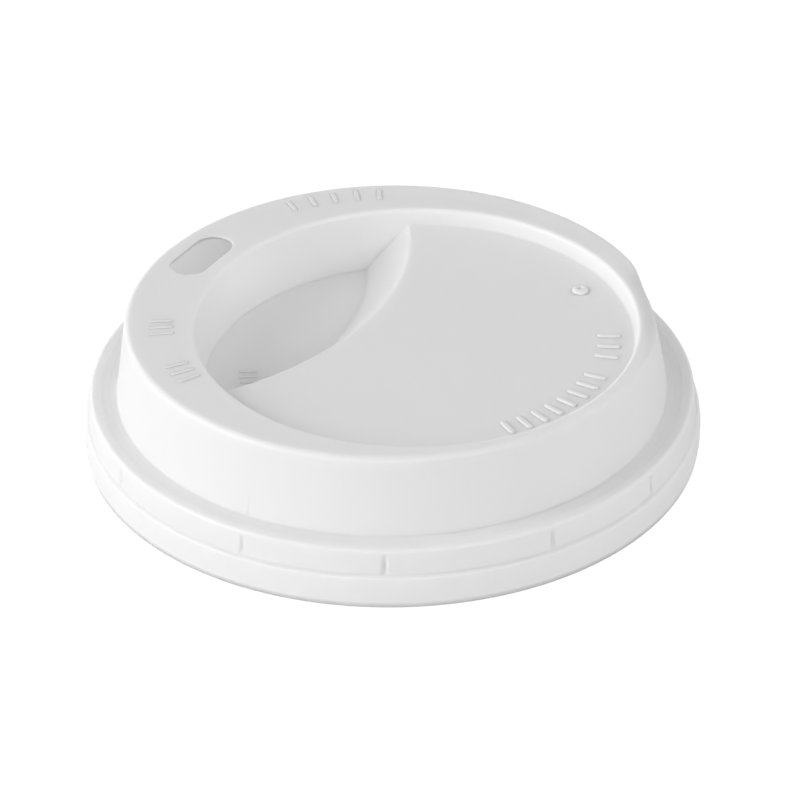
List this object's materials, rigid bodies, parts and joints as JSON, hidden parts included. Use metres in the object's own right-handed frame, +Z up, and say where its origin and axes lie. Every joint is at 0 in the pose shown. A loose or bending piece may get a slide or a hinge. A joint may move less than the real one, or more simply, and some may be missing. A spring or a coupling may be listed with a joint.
{
  "type": "coffee cup lid",
  "caption": "Round domed travel lid for a paper coffee cup, with a sunk top panel, lens-shaped well, sip hole, pinhole vent and snap skirt.",
  "frame": {"origin": "centre of the bottom edge, where the lid stands on a table", "axes": "+Z up through the dome, -Y toward the drinking side with the sip hole, +X to the drinker's left"},
  "size_m": [0.0924, 0.0924, 0.0204],
  "materials": {
    "lid": "smooth white thermoformed plastic, satin"
  },
  "bodies": {
    "root": {"lid": "lid"}
  },
  "joints": []
}
